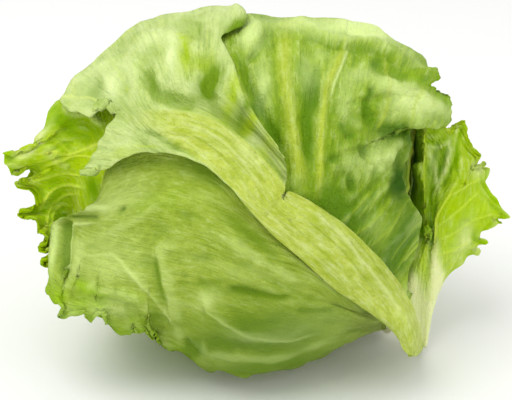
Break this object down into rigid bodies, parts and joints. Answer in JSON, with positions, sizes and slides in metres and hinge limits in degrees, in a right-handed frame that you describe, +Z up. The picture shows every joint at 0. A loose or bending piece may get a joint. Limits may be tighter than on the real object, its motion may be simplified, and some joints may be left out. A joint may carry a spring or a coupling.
{
  "type": "iceberg lettuce",
  "caption": "Head of iceberg lettuce on its side: crinkled outer leaves wrapped over a pale hearted middle, frilled leaves flaring off both ends, a broad midrib and a cut stem.",
  "frame": {"origin": "on the floor, in the middle of the flattened patch under the head", "axes": "+Z up; +X towards the stem end, to the right in the picture; -Y towards the person looking at the pictured side"},
  "size_m": [0.2218, 0.1572, 0.1559],
  "materials": {
    "outer_leaf": "soft waxy sheen",
    "flared_leaf": "soft waxy sheen",
    "inner_leaf": "soft waxy sheen",
    "heart_leaf": "soft waxy sheen",
    "stem": "matt cut face"
  },
  "bodies": {
    "root": {"front_leaf": "outer_leaf", "lower_leaf": "outer_leaf", "upper_leaf": "outer_leaf", "right_leaf": "flared_leaf", "left_leaf": "flared_leaf", "rear_upper_leaf": "outer_leaf", "back_leaf": "outer_leaf", "under_leaf": "outer_leaf", "inner_right_leaf": "inner_leaf", "inner_left_leaf": "inner_leaf", "heart": "heart_leaf", "stem": "stem"}
  },
  "joints": []
}
